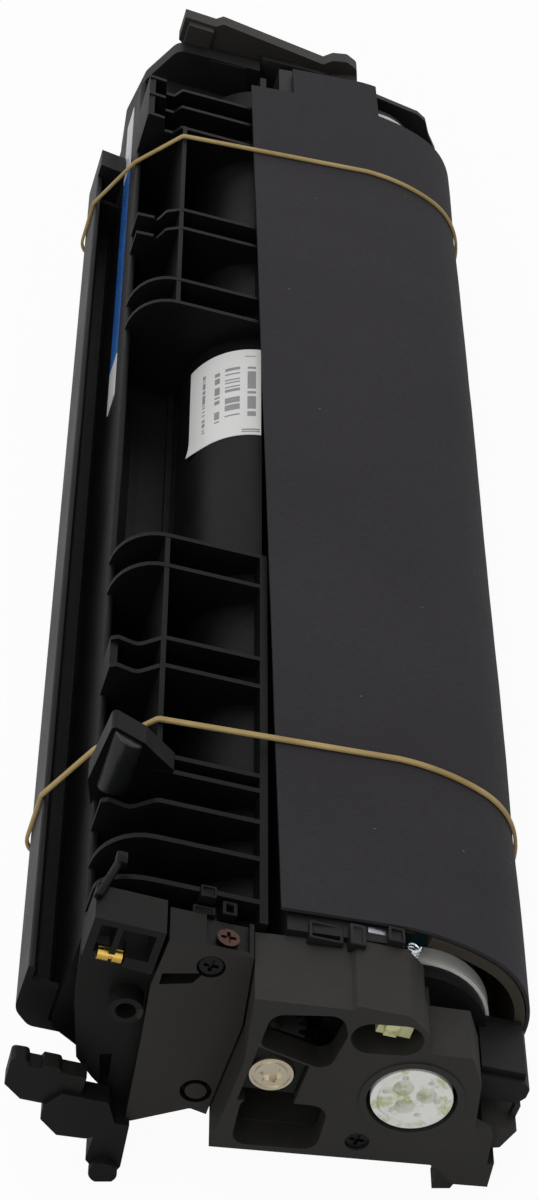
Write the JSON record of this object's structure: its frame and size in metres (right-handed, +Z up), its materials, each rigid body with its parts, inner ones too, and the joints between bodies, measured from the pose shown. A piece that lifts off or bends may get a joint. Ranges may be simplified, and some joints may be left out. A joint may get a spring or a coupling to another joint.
{
  "type": "toner cartridge",
  "caption": "Long black toner cartridge with ribbed hopper, side tray, drive plate with two couplings, and a drum under black card held by rubber bands.",
  "frame": {"origin": "centre of the bounding box, at the level of the feet it rests on", "axes": "+Y along the length from the drive plate to the handle bar, +X across towards the drum, +Z up"},
  "size_m": [0.1121, 0.4172, 0.081],
  "materials": {
    "toner_hopper": "satin",
    "fill_plug": "satin",
    "side_tray": "satin",
    "contact_side_cover": "satin",
    "drive_plate": "satin",
    "coupling_bracket": "satin",
    "far_end_cover": "satin",
    "handle_bar": "satin",
    "drum_frame": "satin",
    "drum_shutter": "satin",
    "wiper_bracket": "plain",
    "wiper_blade": "matt",
    "doctor_blade": "plain",
    "roller_end_seals": "felt",
    "drum_tube": "coated, glossy",
    "drum_near_flange": "satin",
    "drum_coupling": "satin",
    "drum_axle": "bright",
    "charge_roller": "matt",
    "charge_holder_near": "satin",
    "charge_springs": "bright",
    "developer_roller": "blasted, dark",
    "developer_gear": "satin",
    "metal_coupling": "sintered",
    "agitator": "satin",
    "agitator_film": "clear film",
    "slot_bearing": "satin",
    "tension_spring": "bright",
    "brass_contact": "plain",
    "copper_screw": "copper coloured",
    "plate_screws": "black",
    "barrel_label": "gloss paper",
    "strip_white": "film",
    "strip_blue": "film",
    "card_wrap": "matt black card",
    "band_near": "matt"
  },
  "bodies": {
    "housing": {"toner_hopper": "toner_hopper", "fill_plug": "fill_plug", "side_tray": "side_tray", "contact_side_cover": "contact_side_cover", "drive_plate": "drive_plate", "coupling_bracket": "coupling_bracket", "far_end_cover": "far_end_cover", "handle_bar": "handle_bar", "drum_frame": "drum_frame", "drum_shutter": "drum_shutter", "wiper_bracket": "wiper_bracket", "wiper_blade": "wiper_blade", "doctor_blade": "doctor_blade", "roller_end_seals": "roller_end_seals", "charge_holder_near": "charge_holder_near", "charge_holder_far": "charge_holder_near", "charge_springs": "charge_springs", "slot_bearing": "slot_bearing", "tension_spring": "tension_spring", "brass_contact": "brass_contact", "copper_screw": "copper_screw", "plate_screws": "plate_screws", "barrel_label": "barrel_label", "strip_white": "strip_white", "strip_blue": "strip_blue", "card_wrap": "card_wrap", "band_near": "band_near", "band_far": "band_near"},
    "drum": {"drum_tube": "drum_tube", "drum_near_flange": "drum_near_flange", "drum_coupling": "drum_coupling", "drum_far_flange": "drum_near_flange", "drum_axle": "drum_axle"},
    "charger": {"charge_roller": "charge_roller"},
    "developer": {"developer_roller": "developer_roller", "developer_gear": "developer_gear"},
    "drive": {"metal_coupling": "metal_coupling", "coupling_gear": "developer_gear"},
    "stirrer": {"agitator": "agitator", "agitator_film": "agitator_film", "agitator_gear": "developer_gear"}
  },
  "joints": [
    {"name": "drum_spin", "type": "hinge", "parent": "housing", "child": "drum", "pos_m": [0.029, 0, 0.03164], "axis": [0, 1, 0], "continuous": true},
    {"name": "charge_spin", "type": "hinge", "parent": "housing", "child": "charger", "pos_m": [0.01439, 0, 0.047], "axis": [0, 1, 0], "continuous": true},
    {"name": "developer_spin", "type": "hinge", "parent": "housing", "child": "developer", "pos_m": [0.00628, 0, 0.02648], "axis": [0, 1, 0], "continuous": true},
    {"name": "drive_spin", "type": "hinge", "parent": "housing", "child": "drive", "pos_m": [-0.00003, 0, 0.03852], "axis": [0, 1, 0], "continuous": true},
    {"name": "stirrer_spin", "type": "hinge", "parent": "housing", "child": "stirrer", "pos_m": [-0.01351, 0, 0.0299], "axis": [0, 1, 0], "continuous": true}
  ],
  "couplings": [
    {"joint": "charge_spin", "follows": "drum_spin", "ratio": -2.5},
    {"joint": "drive_spin", "follows": "developer_spin", "ratio": -1},
    {"joint": "stirrer_spin", "follows": "developer_spin", "ratio": 0.73913}
  ]
}
